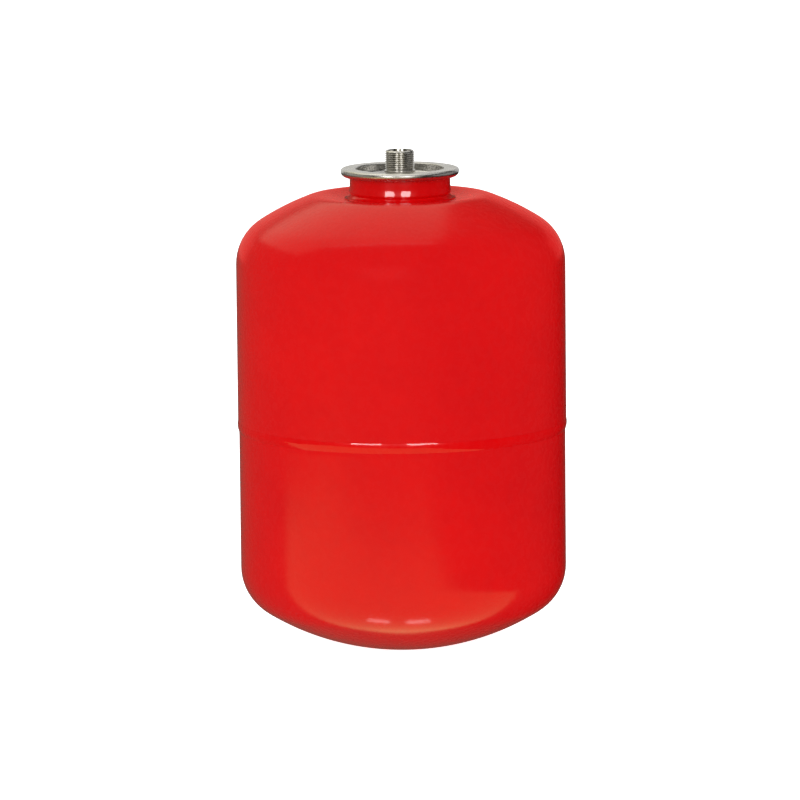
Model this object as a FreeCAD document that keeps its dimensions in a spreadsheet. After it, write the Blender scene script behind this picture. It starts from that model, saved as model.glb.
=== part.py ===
"""Expansion vessel for a closed heating circuit, about 24 litres, connection up and gas valve down.

Every sub-part is a parametric object whose sizes are bound to the "dims" spreadsheet. The row frame has
its origin at the middle of the standing face, with +Z along the vessel's axis, towards the water nipple.
"""

import FreeCAD
import Part
import Sketcher
import math
import os

# alias: (value in millimetres, or degrees or a plain count where the note says so, what it is)
DIMS = {
    # steel body
    "body_r": (147.2, "outer radius of the upper half"),
    "lower_r": (146.2, "outer radius of the lower half"),
    "wall": (1.5, "sheet thickness of both halves"),
    "lap_gap": (0.1, "radial play between the halves where they overlap"),
    "lap_top": (210.0, "height of the lower half's rim, inside the upper half"),
    "joggle_top": (196.0, "height where the lower half's inward step ends"),
    "joggle_low": (193.0, "height where the lower half's inward step starts, at the weld's lower toe"),
    "rim_low": (198.5, "height of the upper half's edge"),
    "bead_top": (202.0, "upper toe of the girth weld"),
    "bead_crown_r": (12.0, "radius of the girth weld's crown"),
    "upper_tangent": (343.2, "height where the upper wall turns into the head"),
    "lower_tangent": (69.3, "height where the lower wall turns into the head"),
    "knuckle_r": (45.0, "outer knuckle radius of both heads"),
    "crown_r": (235.0, "outer crown radius of both heads"),
    "shoulder_start": (83.0, "radius where the crown turns into the seat round the neck"),
    "shoulder_r": (28.0, "outer radius of that turn"),
    "seat_slope": (9.0, "inward slope of the seat round the neck, degrees"),
    # foot and valve well in the lower half
    "foot_inner": (41.0, "inner radius of the flat standing face"),
    "foot_corner": (5.0, "outer radius of the corner between foot and well"),
    "well_floor": (30.0, "height of the well's floor, seen from below"),
    "well_corner": (4.0, "corner radius of the well's floor, seen from below"),
    "boss_hole": (9.0, "radius of the hole for the valve boss"),
    # neck
    "neck_r": (44.0, "outer radius of the neck's lower part"),
    "neck_band_r": (44.9, "outer radius of the neck's upper band"),
    "neck_bead_r": (45.6, "outer radius of the neck's bead"),
    "neck_bore": (43.0, "inner radius of the neck"),
    "neck_low": (392.0, "lower end of the neck, inside the vessel"),
    "neck_step_low": (406.4, "height where the lower part turns out into the bead"),
    "neck_bead_low": (408.6, "lower edge of the bead"),
    "neck_bead_top": (410.6, "upper edge of the bead"),
    "neck_band_low": (415.4, "height where the bead's slope ends in the band"),
    "neck_lip_r": (47.9, "outer radius of the neck's rolled lip"),
    "neck_lip_top": (423.4, "upper face of the lip"),
    "neck_lip": (1.5, "thickness of the lip"),
    "neck_lip_fillet": (1.2, "radius under the lip"),
    "neck_weld_r": (49.8, "outer radius of the fillet weld round the neck"),
    "neck_weld_rise": (5.0, "height of that weld on the neck"),
    "neck_weld_lip": (0.9, "height of that weld's toe"),
    "neck_weld_hollow": (6.5, "radius of that weld's hollow face"),
    # stainless flange plate
    "flange_top": (428.2, "upper face of the flange"),
    "flange_sheet": (1.3, "sheet thickness of the flange"),
    "flange_r": (52.9, "largest radius of the flange's rolled rim"),
    "flange_rim_r": (2.6, "outer radius of the rim's upper edge"),
    "flange_curl_r": (4.9, "outer radius of the curl under the rim"),
    "flange_curl_end": (46.2, "inner radius of the curl's edge"),
    "recess_r": (39.3, "radius of the recess wall"),
    "recess_edge": (1.2, "radius of the recess's upper edge"),
    "recess_corner": (2.6, "radius of the corner between recess wall and floor"),
    "recess_floor": (420.0, "upper face of the recess floor"),
    # threaded nipple, G 3/4
    "nipple_top": (444.0, "top of the nipple"),
    "nipple_low": (414.0, "lower end of the nipple, under the floor"),
    "nipple_base_r": (13.8, "radius of the plain base"),
    "nipple_base_top": (426.4, "top of the plain base"),
    "nipple_bore": (10.5, "radius of the water way"),
    "thread_major": (13.22, "major radius of the thread"),
    "thread_minor": (12.06, "minor radius of the thread"),
    "thread_pitch": (1.814, "pitch of the thread"),
    "thread_crest": (0.36, "width of each flat crest and root"),
    "nipple_edge": (0.5, "inner edge chamfer"),
    "nipple_weld_r": (16.2, "outer radius of the weld round the nipple"),
    "nipple_weld_rise": (1.8, "height of that weld"),
    "nipple_weld_hollow": (3.2, "radius of that weld's face"),
    # rubber bag
    "bag_wall": (2.0, "thickness of the bag"),
    "bag_throat_r": (42.8, "outer radius of the bag's throat"),
    "bag_lip_r": (49.9, "outer radius of the clamped lip"),
    "bag_throat_low": (388.0, "height where the throat turns out"),
    "bag_flare": (14.0, "outer radius of that turn"),
    "bag_slope": (24.0, "slope of the bag's shoulder, degrees"),
    "bag_shoulder_r": (46.0, "outer radius between shoulder and side"),
    "bag_r": (116.0, "outer radius of the bag's side"),
    "bag_tangent": (150.0, "height where the side turns into the closed end"),
    "bag_knuckle": (52.0, "outer knuckle radius of the closed end"),
    "bag_crown": (165.0, "outer crown radius of the closed end"),
    # gas valve
    "boss_flange_r": (12.5, "radius of the boss's flange, inside the vessel"),
    "boss_flange": (2.5, "thickness of that flange"),
    "boss_low": (28.5, "lower face of the boss"),
    "boss_bore": (5.05, "radius of the boss's bore"),
    "boss_weld_r": (15.0, "outer radius of the weld round the boss"),
    "gasket_r": (7.6, "outer radius of the stem's gasket"),
    "gasket": (1.5, "thickness of that gasket"),
    "hex_flats": (14.0, "width across the flats of the stem's hexagon"),
    "hex": (4.0, "thickness of the hexagon"),
    "stem_top": (39.0, "upper end of the stem"),
    "stem_r": (5.0, "radius of the stem in the boss"),
    "stem_low": (13.0, "lower end of the stem"),
    "stem_thread_r": (3.85, "major radius of the stem's cap thread"),
    "stem_root_r": (3.4, "minor radius of the cap thread"),
    "stem_pitch": (0.794, "pitch of the cap thread"),
    "stem_bore": (2.6, "radius of the bore that holds the core"),
    "stem_bore_top": (27.2, "height where that bore narrows"),
    "stem_air_r": (2.1, "radius of the air way above the core"),
    # valve core
    "plug_low": (14.6, "lower face of the core's screw plug"),
    "plug": (3.6, "length of the plug"),
    "plug_hole": (0.8, "radius of the hole round the pin"),
    "plug_slot": (1.0, "width of the key slot across the plug"),
    "plug_slot_deep": (1.4, "depth of that slot"),
    "barrel_r": (1.9, "radius of the core's barrel"),
    "barrel": (7.0, "length of the barrel"),
    "barrel_chamber": (1.45, "radius of the spring chamber"),
    "barrel_seat": (1.6, "thickness of the seat above the chamber"),
    "core_seal_low": (2.0, "height of the barrel seal above the plug"),
    "core_seal": (2.2, "length of the barrel seal"),
    "pin_r": (0.5, "radius of the pin"),
    "pin_low": (13.5, "outer end of the pin"),
    "pin_top": (28.4, "inner end of the pin"),
    "pin_collar_r": (1.15, "radius of the pin's spring collar"),
    "pin_collar": (0.6, "thickness of that collar"),
    "plunger_r": (1.6, "radius of the plunger seal"),
    "plunger": (0.8, "thickness of the plunger seal"),
    "cup_r": (1.9, "outer radius of the plunger cup"),
    "cup": (1.0, "thickness of the cup's floor"),
    "spring_r": (0.95, "mean radius of the spring"),
    "spring_wire": (0.14, "radius of the spring's wire"),
    "spring_turns": (5.0, "turns of the spring, a count"),
    # cap
    "cap_low": (10.4, "closed end of the cap"),
    "cap_top": (20.6, "open end of the cap"),
    "cap_r": (5.9, "outer radius of the cap"),
    "cap_bore": (4.15, "radius of the cap's bore"),
    "cap_seal": (1.0, "thickness of the cap's seal"),
    "cap_seal_r": (4.0, "radius of the cap's seal"),
    "cap_edge": (0.8, "edge radius of the closed end"),
    "cap_groove": (0.45, "radius of each grip groove"),
    "cap_grooves": (20.0, "number of grip grooves, a count"),
}

LEFT, RIGHT = 1, -1  # the way an arc turns, seen along the outline

doc = FreeCAD.newDocument("expansion_vessel")
parts = []


def fill_sheet():
    """The driving dimensions, one row each: what it is, and its value under its alias."""
    sheet = doc.addObject("Spreadsheet::Sheet", "dims")
    for row, (alias, (value, note)) in enumerate(DIMS.items(), start=1):
        sheet.set(f"A{row}", note)
        sheet.set(f"B{row}", str(value))
        sheet.setAlias(f"B{row}", alias)
    doc.recompute()
    return sheet


def plane(body, role):
    """One of a body's own origin planes."""
    return next(f for f in body.Origin.OriginFeatures if f.Role == role)


def pin_down(sketch, geometry, end, r_size, z_size):
    """Holds one end of a sketch element at the radius and height that two expressions give."""
    for kind, axis, size in (("DistanceX", -2, r_size), ("DistanceY", -1, z_size)):
        value = float(sketch.evalExpression(size))
        if abs(value) < 1e-9:
            sketch.addConstraint(Sketcher.Constraint("PointOnObject", geometry, end, axis))
        else:
            at = sketch.addConstraint(Sketcher.Constraint(kind, -1, 1, geometry, end, value))
            sketch.setExpression(f"Constraints[{at}]", size)


def arc_between(a, b, radius, turn):
    """The short arc from a to b that turns left or right, and which of its ends lies at a."""
    chord = b - a
    middle = (a + b) * 0.5
    normal = FreeCAD.Vector(-chord.y, chord.x, 0).normalize() * turn
    centre = middle + normal * math.sqrt(max(0.0, radius**2 - (chord.Length / 2) ** 2))
    angle_a, angle_b = (math.atan2(p.y - centre.y, p.x - centre.x) for p in (a, b))
    circle = Part.Circle(centre, FreeCAD.Vector(0, 0, 1), radius)
    first, last = (angle_a, angle_b) if turn == LEFT else (angle_b, angle_a)
    if last < first:
        last += 2 * math.pi
    return Part.ArcOfCircle(circle, first, last), (1 if turn == LEFT else 2)


def draw(sketch, corners):
    """Closes an outline through the corners. A corner is (radius, height), or (radius, height, arc radius,
    turn) where the side that leads to it is an arc. All sizes are expressions."""
    points = [FreeCAD.Vector(*(float(sketch.evalExpression(size)) for size in c[:2]), 0) for c in corners]
    count = len(corners)
    starts = []
    for i in range(count):
        arrival = corners[(i + 1) % count]
        a, b = points[i], points[(i + 1) % count]
        if len(arrival) == 2:
            sketch.addGeometry(Part.LineSegment(a, b), False)
            starts.append(1)
            continue
        shape, start = arc_between(a, b, float(sketch.evalExpression(arrival[2])), arrival[3])
        sketch.addGeometry(shape, False)
        starts.append(start)
    for i in range(count):
        following = (i + 1) % count
        end = 3 - starts[i]
        sketch.addConstraint(Sketcher.Constraint("Coincident", i, end, following, starts[following]))
        pin_down(sketch, i, starts[i], *corners[i][:2])
    for i in range(count):
        arrival = corners[(i + 1) % count]
        if len(arrival) == 4:
            radius = float(sketch.evalExpression(arrival[2]))
            at = sketch.addConstraint(Sketcher.Constraint("Radius", i, radius))
            sketch.setExpression(f"Constraints[{at}]", arrival[2])


def add_circle(sketch, x_size, y_size, r_size):
    """A circle in a sketch, its centre and radius held by expressions."""
    x, y, radius = (float(sketch.evalExpression(size)) for size in (x_size, y_size, r_size))
    circle = Part.Circle(FreeCAD.Vector(x, y, 0), FreeCAD.Vector(0, 0, 1), radius)
    geometry = sketch.addGeometry(circle, False)
    pin_down(sketch, geometry, 3, x_size, y_size)
    at = sketch.addConstraint(Sketcher.Constraint("Radius", geometry, radius))
    sketch.setExpression(f"Constraints[{at}]", r_size)


def revolved(label, corners):
    """A body turned about the vessel's axis from a closed outline in radius and height."""
    body = doc.addObject("PartDesign::Body", label)
    sketch = body.newObject("Sketcher::SketchObject", label + "_outline")
    sketch.AttachmentSupport = [(plane(body, "XZ_Plane"), "")]
    sketch.MapMode = "FlatFace"
    doc.recompute()
    draw(sketch, corners)
    turned = body.newObject("PartDesign::Revolution", label + "_turned")
    turned.Profile = sketch
    turned.ReferenceAxis = (sketch, ["V_Axis"])
    turned.Angle = 360.0
    doc.recompute()
    parts.append(body)
    return body


def head(outer_r, tangent, knuckle, crown, inset, way):
    """Expressions for a dished head that starts at a tangent height and curves up (way +1) or down (-1):
    the radius and height where knuckle meets crown, both arc radii, and the crown centre's height. inset
    is the distance inside the outer surface."""
    pitch_r = f"({outer_r} - {knuckle})"
    between = f"({crown} - {knuckle})"
    sign = "-" if way > 0 else "+"
    back = "+" if way > 0 else "-"
    centre = f"({tangent} {sign} sqrt({between}^2 - {pitch_r}^2))"
    join_r = f"({pitch_r} * ({crown} - {inset}) / {between})"
    join_z = f"({centre} {back} sqrt({between}^2 - {pitch_r}^2) * ({crown} - {inset}) / {between})"
    return join_r, join_z, f"({knuckle} - {inset})", f"({crown} - {inset})", centre


def on_crown(radius, crown, centre, way):
    """The height of a crown's surface at a radius."""
    return f"({centre} {'+' if way > 0 else '-'} sqrt({crown}^2 - ({radius})^2))"


def seat_height(radius, inset="0"):
    """The height of the sloping seat round the neck at a radius, or of its inner surface."""
    centre = head("dims.body_r", "dims.upper_tangent", "dims.knuckle_r", "dims.crown_r", "0", 1)[4]
    lean = "asin(dims.shoulder_start / dims.crown_r)"
    middle_r = f"((dims.crown_r - dims.shoulder_r) * sin({lean}))"
    middle_z = f"({centre} + (dims.crown_r - dims.shoulder_r) * cos({lean}))"
    slope = "(dims.seat_slope * 1deg)"
    turn_r = f"({middle_r} - (dims.shoulder_r - {inset}) * sin({slope}))"
    turn_z = f"({middle_z} + (dims.shoulder_r - {inset}) * cos({slope}))"
    return turn_r, turn_z, f"({turn_z} - ({turn_r} - ({radius})) * tan({slope}))"


def make_upper_shell():
    """Upper half: straight wall, dished head, and a slightly sunk seat with the hole for the neck."""
    rim = "dims.rim_low"
    sides = []
    for inset in ("0", "dims.wall"):
        join_r, join_z, knuckle, crown, centre = head(
            "dims.body_r", "dims.upper_tangent", "dims.knuckle_r", "dims.crown_r", inset, 1
        )
        start_r = f"(dims.shoulder_start * ({crown}) / dims.crown_r)"
        turn_r, turn_z, hole_z = seat_height("dims.neck_r", inset)
        sides.append(
            {
                "wall_r": f"(dims.body_r - {inset})",
                "join": (join_r, join_z, knuckle),
                "crown": (start_r, on_crown(start_r, crown, centre, 1), crown),
                "turn": (turn_r, turn_z, f"(dims.shoulder_r - {inset})"),
                "hole": ("dims.neck_r", hole_z),
            }
        )
    out, inn = sides
    return revolved(
        "upper_shell",
        [
            (out["wall_r"], rim),
            (out["wall_r"], "dims.upper_tangent"),
            (*out["join"], LEFT),
            (*out["crown"], LEFT),
            (*out["turn"], LEFT),
            out["hole"],
            inn["hole"],
            inn["turn"][:2],
            (*inn["crown"][:2], inn["turn"][2], RIGHT),
            (*inn["join"][:2], inn["crown"][2], RIGHT),
            (inn["wall_r"], "dims.upper_tangent", inn["join"][2], RIGHT),
            (inn["wall_r"], rim),
        ],
    )


def make_lower_shell():
    """Lower half: rim stepped in to slip inside the upper half, dished head, flat foot and valve well."""
    lap_r = "(dims.body_r - dims.wall - dims.lap_gap)"
    join_r, join_z, knuckle, crown, centre = head(
        "dims.lower_r", "dims.lower_tangent", "dims.knuckle_r", "dims.crown_r", "0", -1
    )
    in_join_r, in_join_z, in_knuckle, in_crown, _ = head(
        "dims.lower_r", "dims.lower_tangent", "dims.knuckle_r", "dims.crown_r", "dims.wall", -1
    )
    foot_outer = f"sqrt(dims.crown_r^2 - {centre}^2)"
    in_foot_outer = f"sqrt({in_crown}^2 - ({centre} - dims.wall)^2)"
    well_r = "(dims.foot_inner - dims.foot_corner)"
    floor_top = "(dims.well_floor + dims.wall)"
    return revolved(
        "lower_shell",
        [
            (lap_r, "dims.lap_top"),
            (f"{lap_r} - dims.wall", "dims.lap_top"),
            (f"{lap_r} - dims.wall", "dims.joggle_top"),
            ("dims.lower_r - dims.wall", "dims.joggle_low"),
            ("dims.lower_r - dims.wall", "dims.lower_tangent"),
            (in_join_r, in_join_z, in_knuckle, RIGHT),
            (in_foot_outer, "dims.wall", in_crown, RIGHT),
            ("dims.foot_inner", "dims.wall"),
            (
                f"{well_r} + dims.wall",
                "dims.foot_corner",
                "dims.foot_corner - dims.wall",
                RIGHT,
            ),
            (f"{well_r} + dims.wall", "dims.well_floor - dims.well_corner"),
            (
                f"{well_r} - dims.well_corner",
                floor_top,
                "dims.well_corner + dims.wall",
                LEFT,
            ),
            ("dims.boss_hole", floor_top),
            ("dims.boss_hole", "dims.well_floor"),
            (f"{well_r} - dims.well_corner", "dims.well_floor"),
            (well_r, "dims.well_floor - dims.well_corner", "dims.well_corner", RIGHT),
            (well_r, "dims.foot_corner"),
            ("dims.foot_inner", "0", "dims.foot_corner", LEFT),
            (foot_outer, "0"),
            (join_r, join_z, crown, LEFT),
            ("dims.lower_r", "dims.lower_tangent", knuckle, LEFT),
            ("dims.lower_r", "dims.joggle_low"),
            (lap_r, "dims.joggle_top"),
        ],
    )


def make_girth_weld():
    """Bead that fills the step between the two halves and stands a little proud of them."""
    lap_r = "(dims.body_r - dims.wall - dims.lap_gap)"
    return revolved(
        "girth_weld",
        [
            ("dims.lower_r", "dims.joggle_low"),
            ("dims.body_r", "dims.bead_top", "dims.bead_crown_r", LEFT),
            ("dims.body_r", "dims.rim_low"),
            (lap_r, "dims.rim_low"),
            (lap_r, "dims.joggle_top"),
        ],
    )


def make_neck():
    """Sheet neck with a raised bead and a lip rolled out at the top, and the fillet weld at its foot."""
    lip_low = "(dims.neck_lip_top - dims.neck_lip)"
    bead_round = "((dims.neck_bead_top - dims.neck_bead_low) / 2)"
    revolved(
        "neck_collar",
        [
            ("dims.neck_bore", "dims.neck_low"),
            ("dims.neck_r", "dims.neck_low"),
            ("dims.neck_r", "dims.neck_step_low"),
            ("dims.neck_bead_r", "dims.neck_bead_low"),
            ("dims.neck_bead_r", "dims.neck_bead_top", f"{bead_round} + 0.6", LEFT),
            ("dims.neck_band_r", "dims.neck_band_low"),
            ("dims.neck_band_r", f"{lip_low} - dims.neck_lip_fillet"),
            (
                "dims.neck_band_r + dims.neck_lip_fillet",
                lip_low,
                "dims.neck_lip_fillet",
                RIGHT,
            ),
            ("dims.neck_lip_r", lip_low),
            ("dims.neck_lip_r", "dims.neck_lip_top"),
            ("dims.neck_bore", "dims.neck_lip_top"),
        ],
    )
    _, _, toe = seat_height("dims.neck_weld_r")
    _, _, root = seat_height("dims.neck_r")
    revolved(
        "neck_weld",
        [
            ("dims.neck_r", root),
            ("dims.neck_weld_r", toe),
            (
                "dims.neck_weld_r - dims.neck_weld_lip",
                f"{toe} + dims.neck_weld_lip",
                "dims.neck_weld_lip",
                LEFT,
            ),
            ("dims.neck_r", f"{root} + dims.neck_weld_rise", "dims.neck_weld_hollow", RIGHT),
        ],
    )


def make_connection_flange():
    """Stainless plate: floor, recess wall, flat ring, and a rim curled under the neck's lip."""
    top = "dims.flange_top"
    sheet = "dims.flange_sheet"
    under = f"({top} - {sheet})"
    rim_z = f"({top} - dims.flange_rim_r)"
    curl_low = "(dims.neck_lip_top - dims.neck_lip - dims.flange_sheet)"
    curl_in = "(dims.neck_lip_top - dims.neck_lip)"
    floor = "dims.recess_floor"
    floor_low = f"({floor} - {sheet})"
    wall_out = f"(dims.recess_r + {sheet})"
    return revolved(
        "connection_flange",
        [
            ("dims.nipple_base_r", floor),
            ("dims.nipple_base_r", floor_low),
            (f"dims.recess_r - dims.recess_corner", floor_low),
            (wall_out, f"{floor} + dims.recess_corner", f"dims.recess_corner + {sheet}", LEFT),
            (wall_out, under),
            (f"dims.flange_r - dims.flange_rim_r", under),
            (f"dims.flange_r - {sheet}", rim_z, f"dims.flange_rim_r - {sheet}", RIGHT),
            (f"dims.flange_r - {sheet}", f"{curl_low} + dims.flange_curl_r"),
            (
                f"dims.flange_r - dims.flange_curl_r",
                curl_in,
                f"dims.flange_curl_r - {sheet}",
                RIGHT,
            ),
            ("dims.flange_curl_end", curl_in),
            ("dims.flange_curl_end", curl_low),
            ("dims.flange_r - dims.flange_curl_r", curl_low),
            ("dims.flange_r", f"{curl_low} + dims.flange_curl_r", "dims.flange_curl_r", LEFT),
            ("dims.flange_r", rim_z),
            ("dims.flange_r - dims.flange_rim_r", top, "dims.flange_rim_r", LEFT),
            ("dims.recess_r + dims.recess_edge", top),
            ("dims.recess_r", f"{top} - dims.recess_edge", "dims.recess_edge", LEFT),
            ("dims.recess_r", f"{floor} + dims.recess_corner"),
            ("dims.recess_r - dims.recess_corner", floor, "dims.recess_corner", RIGHT),
        ],
    )


def ridges(low_z, major, minor, pitch, crest, count):
    """Corners of a row of thread ridges, from the bottom up, each a ring with a flat crest."""
    flank = f"(({pitch} - 2 * {crest}) / 2)"
    corners = []
    for i in range(count):
        foot = f"({low_z} + {i} * {pitch})"
        corners += [
            (minor, foot),
            (major, f"{foot} + {flank}"),
            (major, f"{foot} + {flank} + {crest}"),
            (minor, f"{foot} + 2 * {flank} + {crest}"),
        ]
    return corners


def make_nipple():
    """Male G 3/4 nipple with its water way, and the weld that joins it to the flange's floor."""
    turns = int((DIMS["nipple_top"][0] - DIMS["nipple_base_top"][0]) / DIMS["thread_pitch"][0])
    thread_low = f"(dims.nipple_top - 0.3 - {turns} * dims.thread_pitch)"
    revolved(
        "nipple",
        [
            ("dims.nipple_bore", "dims.nipple_low"),
            ("dims.nipple_base_r", "dims.nipple_low"),
            ("dims.nipple_base_r", "dims.nipple_base_top - 0.6"),
            ("dims.nipple_base_r - 0.6", "dims.nipple_base_top"),
            ("dims.thread_minor", "dims.nipple_base_top"),
            *ridges(thread_low, "dims.thread_major", "dims.thread_minor", "dims.thread_pitch",
                    "dims.thread_crest", turns),
            ("dims.thread_minor", "dims.nipple_top"),
            ("dims.nipple_bore + dims.nipple_edge", "dims.nipple_top"),
            ("dims.nipple_bore", "dims.nipple_top - dims.nipple_edge"),
        ],
    )
    revolved(
        "nipple_weld",
        [
            ("dims.nipple_base_r", "dims.recess_floor"),
            ("dims.nipple_weld_r", "dims.recess_floor"),
            (
                "dims.nipple_base_r",
                "dims.recess_floor + dims.nipple_weld_rise",
                "dims.nipple_weld_hollow",
                LEFT,
            ),
        ],
    )


def bag_side(inset):
    """Corners down one surface of the bag, from the throat to the axis, as (radius, height[, arc])."""
    slope = "(dims.bag_slope * 1deg)"
    throat = f"(dims.bag_throat_r - {inset})"
    flare = f"(dims.bag_flare + {inset})"
    flare_r = "(dims.bag_throat_r + dims.bag_flare)"
    shoulder = f"(dims.bag_shoulder_r - {inset})"
    shoulder_r = "(dims.bag_r - dims.bag_shoulder_r)"
    shoulder_z = (
        f"(dims.bag_throat_low - dims.bag_flare * cos({slope}) - dims.bag_shoulder_r * cos({slope})"
        f" - tan({slope}) * ({shoulder_r} + dims.bag_shoulder_r * sin({slope})"
        f" - {flare_r} + dims.bag_flare * sin({slope})))"
    )
    join_r, join_z, knuckle, crown, centre = head(
        "dims.bag_r", "dims.bag_tangent", "dims.bag_knuckle", "dims.bag_crown", inset, -1
    )
    return [
        (throat, "dims.bag_throat_low"),
        (f"{flare_r} - {flare} * sin({slope})", f"dims.bag_throat_low - {flare} * cos({slope})", flare, LEFT),
        (f"{shoulder_r} + {shoulder} * sin({slope})", f"{shoulder_z} + {shoulder} * cos({slope})"),
        (f"dims.bag_r - {inset}", shoulder_z, shoulder, RIGHT),
        (f"dims.bag_r - {inset}", "dims.bag_tangent"),
        (join_r, join_z, knuckle, RIGHT),
        ("0", f"{centre} - {crown}", crown, RIGHT),
    ]


def back_up(corners):
    """The same corners walked the other way, with each arc's turn reversed."""
    walked = []
    for i in range(len(corners) - 1, -1, -1):
        arc = corners[i + 1][2:] if i + 1 < len(corners) else ()
        walked.append((*corners[i][:2], *((arc[0], -arc[1]) if arc else ())))
    return walked


def make_membrane():
    """Rubber bag that keeps the water off the steel, hung by a lip clamped under the flange."""
    lip_low = "dims.neck_lip_top"
    lip_top = "(dims.flange_top - dims.flange_sheet)"
    throat_in = "(dims.bag_throat_r - dims.bag_wall)"
    return revolved(
        "membrane",
        [
            (throat_in, lip_top),
            ("dims.bag_lip_r", lip_top),
            ("dims.bag_lip_r", lip_low),
            ("dims.bag_throat_r", lip_low),
            *bag_side("0"),
            *back_up(bag_side("dims.bag_wall")),
        ],
    )


def make_valve_boss():
    """Steel boss for the gas valve, set in the well's floor, and its weld inside the vessel."""
    floor_top = "(dims.well_floor + dims.wall)"
    revolved(
        "valve_boss",
        [
            ("dims.boss_bore", "dims.boss_low"),
            ("dims.boss_hole", "dims.boss_low"),
            ("dims.boss_hole", floor_top),
            ("dims.boss_flange_r", floor_top),
            ("dims.boss_flange_r", f"{floor_top} + dims.boss_flange"),
            ("dims.boss_bore", f"{floor_top} + dims.boss_flange"),
        ],
    )
    revolved(
        "boss_weld",
        [
            ("dims.boss_flange_r", floor_top),
            ("dims.boss_weld_r", floor_top),
            (
                "dims.boss_flange_r",
                f"{floor_top} + dims.boss_flange * 0.9",
                "dims.boss_flange",
                LEFT,
            ),
        ],
    )


def make_valve_stem():
    """Brass valve stem with a hexagon and a cap thread, and the gasket under the hexagon."""
    hex_top = "(dims.boss_low - dims.gasket)"
    hex_low = f"({hex_top} - dims.hex)"
    ridge_count = int((DIMS["boss_low"][0] - DIMS["gasket"][0] - DIMS["hex"][0] - 1.6
                       - DIMS["stem_low"][0]) / DIMS["stem_pitch"][0])
    body = revolved(
        "valve_stem",
        [
            ("dims.stem_bore", "dims.stem_low + 0.4"),
            ("dims.stem_bore + 0.4", "dims.stem_low"),
            *ridges("(dims.stem_low + 0.2)", "dims.stem_thread_r", "dims.stem_root_r", "dims.stem_pitch",
                    "(dims.stem_pitch / 6)", ridge_count),
            ("dims.stem_root_r", hex_low),
            ("dims.stem_r", hex_low),
            ("dims.stem_r", "dims.stem_top"),
            ("dims.stem_air_r", "dims.stem_top"),
            ("dims.stem_air_r", "dims.stem_bore_top"),
            ("dims.stem_bore", "dims.stem_bore_top - 0.5"),
        ],
    )
    sketch = body.newObject("Sketcher::SketchObject", "valve_stem_hexagon")
    sketch.AttachmentSupport = [(plane(body, "XY_Plane"), "")]
    sketch.MapMode = "FlatFace"
    sketch.AttachmentOffset = FreeCAD.Placement(FreeCAD.Vector(0, 0, 1), FreeCAD.Rotation())
    sketch.setExpression("AttachmentOffset.Base.z", hex_low)
    corner = DIMS["hex_flats"][0] / math.sqrt(3)
    for i in range(6):
        ends = [FreeCAD.Vector(corner * math.cos(math.radians(60 * k)),
                               corner * math.sin(math.radians(60 * k)), 0) for k in (i, i + 1)]
        sketch.addGeometry(Part.LineSegment(*ends), False)
    guide = sketch.addGeometry(Part.Circle(FreeCAD.Vector(), FreeCAD.Vector(0, 0, 1), corner), True)
    hole = sketch.addGeometry(Part.Circle(FreeCAD.Vector(), FreeCAD.Vector(0, 0, 1), 4.0), False)
    for circle, size in ((guide, "dims.hex_flats / sqrt(3)"), (hole, "dims.stem_bore + 0.6")):
        sketch.addConstraint(Sketcher.Constraint("Coincident", circle, 3, -1, 1))
        at = sketch.addConstraint(
            Sketcher.Constraint("Radius", circle, float(sketch.evalExpression(size)))
        )
        sketch.setExpression(f"Constraints[{at}]", size)
    for i in range(6):
        sketch.addConstraint(Sketcher.Constraint("Coincident", i, 2, (i + 1) % 6, 1))
        sketch.addConstraint(Sketcher.Constraint("PointOnObject", i, 1, guide))
    for i in range(5):
        sketch.addConstraint(Sketcher.Constraint("Equal", i, i + 1))
    sketch.addConstraint(Sketcher.Constraint("PointOnObject", 0, 1, -1))
    pad = body.newObject("PartDesign::Pad", "valve_stem_hexagon_pad")
    pad.Profile = sketch
    pad.setExpression("Length", "dims.hex")
    doc.recompute()
    revolved(
        "stem_gasket",
        [
            ("dims.stem_r", hex_top),
            ("dims.gasket_r", hex_top),
            ("dims.gasket_r", "dims.boss_low"),
            ("dims.stem_r", "dims.boss_low"),
        ],
    )


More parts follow.
